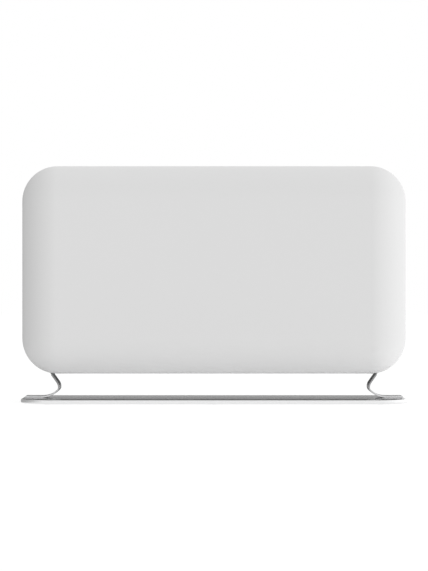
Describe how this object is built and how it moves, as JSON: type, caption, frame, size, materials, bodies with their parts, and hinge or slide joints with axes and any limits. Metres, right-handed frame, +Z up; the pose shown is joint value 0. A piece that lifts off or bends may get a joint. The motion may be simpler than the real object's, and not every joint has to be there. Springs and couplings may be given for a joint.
{
  "type": "convector heater",
  "caption": "Free-standing convector heater: a white slab casing with rolled edges on two bent strip legs and a low metal base, controls on its right-hand end.",
  "frame": {"origin": "centre of the footprint, on the surface that the heater stands on", "axes": "+X to the right of the front, +Y to the back, +Z up"},
  "size_m": [0.697, 0.19, 0.428],
  "materials": {
    "casing_enamel": "satin white powder coat",
    "grille_enamel": "satin white powder coat",
    "satin_metal": "satin finished, brushed along its length",
    "pocket_grey": "fine grained moulding",
    "knob_grey": "fine grained moulding",
    "switch_black": "moulded",
    "rocker_black": "polished moulding",
    "lamp_amber": "clear amber lens",
    "thermostat_case": "moulded phenolic",
    "shaft_steel": "turned",
    "fin_aluminium": "plain extrusion",
    "sheath_steel": "heat tinted",
    "white_ceramic": "unglazed",
    "zinc_plate": "galvanised sheet",
    "plated_fasteners": "zinc plated",
    "painted_screws": "painted to match the casing",
    "weight_steel": "blackened",
    "stud_brass": "turned",
    "wire_cover": "silicone covered wire",
    "black_rubber": "moulded"
  },
  "bodies": {
    "heater": {"front_panel": "casing_enamel", "rear_housing": "casing_enamel", "outlet_grille": "grille_enamel", "inlet_grille": "grille_enamel", "leg_left": "satin_metal", "leg_right": "satin_metal", "base_plate": "satin_metal", "control_housing": "pocket_grey", "switch_body_low": "switch_black", "switch_body_high": "switch_black", "tilt_switch": "switch_black", "pilot_lamp": "lamp_amber", "thermostat_body": "thermostat_case", "thermal_cutout": "thermostat_case", "cord_clamp": "thermostat_case", "cord_gland": "thermostat_case", "tilt_pin": "shaft_steel", "lower_element_fins": "fin_aluminium", "upper_element_fins": "fin_aluminium", "lower_element_tube": "sheath_steel", "upper_element_tube": "sheath_steel", "element_insulators": "white_ceramic", "terminal_block": "white_ceramic", "end_plate_left": "zinc_plate", "end_plate_right": "zinc_plate", "front_heat_shield": "zinc_plate", "rear_heat_shield": "zinc_plate", "tilt_bracket": "zinc_plate", "leg_bracket_left": "zinc_plate", "leg_bracket_right": "zinc_plate", "element_clips": "plated_fasteners", "chassis_screws": "plated_fasteners", "leg_bolts": "plated_fasteners", "bracket_screws": "plated_fasteners", "foot_nuts": "plated_fasteners", "shield_screws": "plated_fasteners", "control_screws": "plated_fasteners", "panel_screws": "painted_screws", "earth_stud": "stud_brass", "wiring": "wire_cover", "base_pads": "black_rubber", "wire_grommet": "black_rubber"},
    "thermostat": {"thermostat_knob": "knob_grey", "thermostat_shaft": "shaft_steel"},
    "low_rocker": {"rocker_low": "rocker_black"},
    "high_rocker": {"rocker_high": "rocker_black"},
    "tilt_weight": {"tilt_pendulum": "weight_steel"}
  },
  "joints": [
    {"name": "knob_turn", "type": "hinge", "parent": "heater", "child": "thermostat", "pos_m": [0.319, 0.027, 0.33], "axis": [-1, 0, 0], "range_deg": [0, 270]},
    {"name": "low_rocker_tip", "type": "hinge", "parent": "heater", "child": "low_rocker", "pos_m": [0.3185, 0.027, 0.252], "axis": [0, 1, 0], "range_deg": [0, 24]},
    {"name": "high_rocker_tip", "type": "hinge", "parent": "heater", "child": "high_rocker", "pos_m": [0.3185, 0.027, 0.28], "axis": [0, 1, 0], "range_deg": [0, 24]},
    {"name": "tilt_swing", "type": "hinge", "parent": "heater", "child": "tilt_weight", "pos_m": [0.268, -0.028, 0.142], "axis": [1, 0, 0], "range_deg": [-25, 25]}
  ]
}
